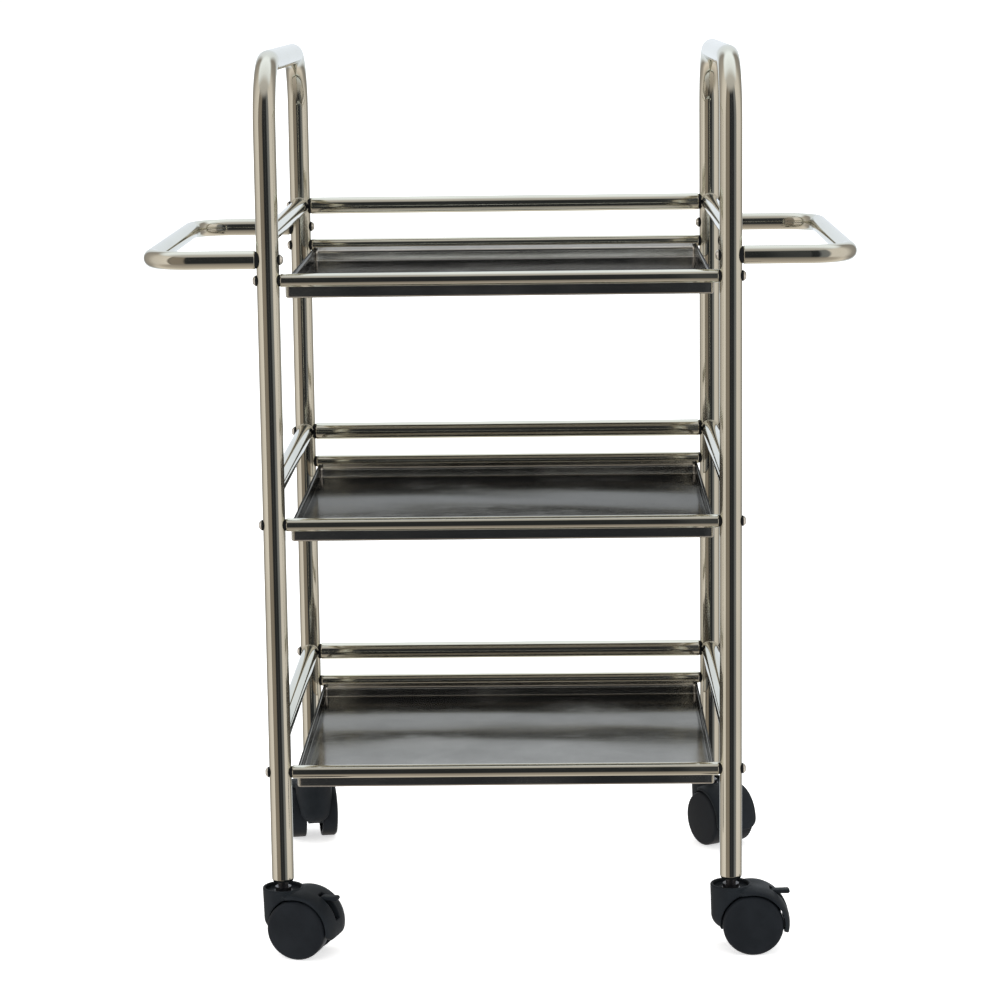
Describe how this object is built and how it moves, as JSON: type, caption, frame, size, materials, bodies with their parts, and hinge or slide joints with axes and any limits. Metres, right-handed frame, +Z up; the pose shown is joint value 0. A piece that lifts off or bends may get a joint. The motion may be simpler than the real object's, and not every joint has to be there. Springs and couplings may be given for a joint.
{
  "type": "rolling salon trolley",
  "caption": "Rolling salon trolley: bent tube end frames, bolted cross rails, mirror-polished sheet trays, side push handles and black twin-wheel swivel casters.",
  "frame": {"origin": "on the floor, midway between the four legs", "axes": "+Z up, +X to the trolley's right as seen from the front, +Y from the front to the rear"},
  "size_m": [0.694, 0.4995, 0.89],
  "materials": {
    "polished_tube": "polished",
    "tray_sheet": "polished",
    "screw_steel": "polished",
    "zinc_hardware": "plain",
    "saddle_plastic": "matte",
    "caster_plastic": "fine grain",
    "wheel_plastic": "satin"
  },
  "bodies": {
    "frame": {"left_end_frame": "polished_tube", "right_end_frame": "polished_tube", "left_top_side_rail": "polished_tube", "right_top_side_rail": "polished_tube", "top_front_rail": "polished_tube", "top_rear_rail": "polished_tube", "top_guard_rail": "polished_tube", "top_tray": "tray_sheet", "left_middle_side_rail": "polished_tube", "right_middle_side_rail": "polished_tube", "middle_front_rail": "polished_tube", "middle_rear_rail": "polished_tube", "middle_guard_rail": "polished_tube", "middle_tray": "tray_sheet", "left_bottom_side_rail": "polished_tube", "right_bottom_side_rail": "polished_tube", "bottom_front_rail": "polished_tube", "bottom_rear_rail": "polished_tube", "bottom_guard_rail": "polished_tube", "bottom_tray": "tray_sheet", "left_handle": "polished_tube", "right_handle": "polished_tube", "rail_screws": "screw_steel", "handle_screws": "screw_steel", "screw_washers": "saddle_plastic", "tray_rail_saddles": "saddle_plastic", "guard_rail_saddles": "saddle_plastic", "handle_saddles": "saddle_plastic", "tray_rail_inserts": "zinc_hardware", "guard_rail_inserts": "zinc_hardware", "handle_inserts": "zinc_hardware", "leg_plugs": "caster_plastic", "caster_stems": "zinc_hardware", "thrust_washers": "zinc_hardware", "stem_snap_rings": "zinc_hardware"},
    "front_left_caster": {"front_left_caster_housing": "caster_plastic", "front_left_caster_axle": "zinc_hardware", "front_left_brake_pin": "zinc_hardware"},
    "front_left_left_wheel": {"front_left_caster_left_wheel": "wheel_plastic"},
    "front_left_right_wheel": {"front_left_caster_right_wheel": "wheel_plastic"},
    "front_left_brake": {"front_left_brake_lever": "caster_plastic"},
    "front_right_caster": {"front_right_caster_housing": "caster_plastic", "front_right_caster_axle": "zinc_hardware", "front_right_brake_pin": "zinc_hardware"},
    "front_right_left_wheel": {"front_right_caster_left_wheel": "wheel_plastic"},
    "front_right_right_wheel": {"front_right_caster_right_wheel": "wheel_plastic"},
    "front_right_brake": {"front_right_brake_lever": "caster_plastic"},
    "rear_right_caster": {"rear_right_caster_housing": "caster_plastic", "rear_right_caster_axle": "zinc_hardware"},
    "rear_right_left_wheel": {"rear_right_caster_left_wheel": "wheel_plastic"},
    "rear_right_right_wheel": {"rear_right_caster_right_wheel": "wheel_plastic"},
    "rear_left_caster": {"rear_left_caster_housing": "caster_plastic", "rear_left_caster_axle": "zinc_hardware"},
    "rear_left_left_wheel": {"rear_left_caster_left_wheel": "wheel_plastic"},
    "rear_left_right_wheel": {"rear_left_caster_right_wheel": "wheel_plastic"}
  },
  "joints": [
    {"name": "front_left_swivel", "type": "hinge", "parent": "frame", "child": "front_left_caster", "pos_m": [-0.2225, -0.2, 0.05], "axis": [0, 0, 1], "continuous": true},
    {"name": "front_left_left_wheel_spin", "type": "hinge", "parent": "front_left_caster", "child": "front_left_left_wheel", "pos_m": [-0.20231, -0.20579, 0.03], "axis": [0.2756, 0.9613, 0], "continuous": true},
    {"name": "front_left_right_wheel_spin", "type": "hinge", "parent": "front_left_caster", "child": "front_left_right_wheel", "pos_m": [-0.20231, -0.20579, 0.03], "axis": [0.2756, 0.9613, 0], "continuous": true},
    {"name": "front_left_brake_press", "type": "hinge", "parent": "front_left_caster", "child": "front_left_brake", "pos_m": [-0.19078, -0.2091, 0.05], "axis": [0.2756, 0.9613, 0], "range_deg": [0, 14]},
    {"name": "front_right_swivel", "type": "hinge", "parent": "frame", "child": "front_right_caster", "pos_m": [0.2225, -0.2, 0.05], "axis": [0, 0, 1], "continuous": true},
    {"name": "front_right_left_wheel_spin", "type": "hinge", "parent": "front_right_caster", "child": "front_right_left_wheel", "pos_m": [0.2435, -0.2, 0.03], "axis": [0, 1, 0], "continuous": true},
    {"name": "front_right_right_wheel_spin", "type": "hinge", "parent": "front_right_caster", "child": "front_right_right_wheel", "pos_m": [0.2435, -0.2, 0.03], "axis": [0, 1, 0], "continuous": true},
    {"name": "front_right_brake_press", "type": "hinge", "parent": "front_right_caster", "child": "front_right_brake", "pos_m": [0.2555, -0.2, 0.05], "axis": [0, 1, 0], "range_deg": [0, 14]},
    {"name": "rear_right_swivel", "type": "hinge", "parent": "frame", "child": "rear_right_caster", "pos_m": [0.2225, 0.2, 0.05], "axis": [0, 0, 1], "continuous": true},
    {"name": "rear_right_left_wheel_spin", "type": "hinge", "parent": "rear_right_caster", "child": "rear_right_left_wheel", "pos_m": [0.233, 0.18181, 0.03], "axis": [0.866, 0.5, 0], "continuous": true},
    {"name": "rear_right_right_wheel_spin", "type": "hinge", "parent": "rear_right_caster", "child": "rear_right_right_wheel", "pos_m": [0.233, 0.18181, 0.03], "axis": [0.866, 0.5, 0], "continuous": true},
    {"name": "rear_left_swivel", "type": "hinge", "parent": "frame", "child": "rear_left_caster", "pos_m": [-0.2225, 0.2, 0.05], "axis": [0, 0, 1], "continuous": true},
    {"name": "rear_left_left_wheel_spin", "type": "hinge", "parent": "rear_left_caster", "child": "rear_left_left_wheel", "pos_m": [-0.22615, 0.22068, 0.03], "axis": [-0.9848, -0.1736, 0], "continuous": true},
    {"name": "rear_left_right_wheel_spin", "type": "hinge", "parent": "rear_left_caster", "child": "rear_left_right_wheel", "pos_m": [-0.22615, 0.22068, 0.03], "axis": [-0.9848, -0.1736, 0], "continuous": true}
  ]
}
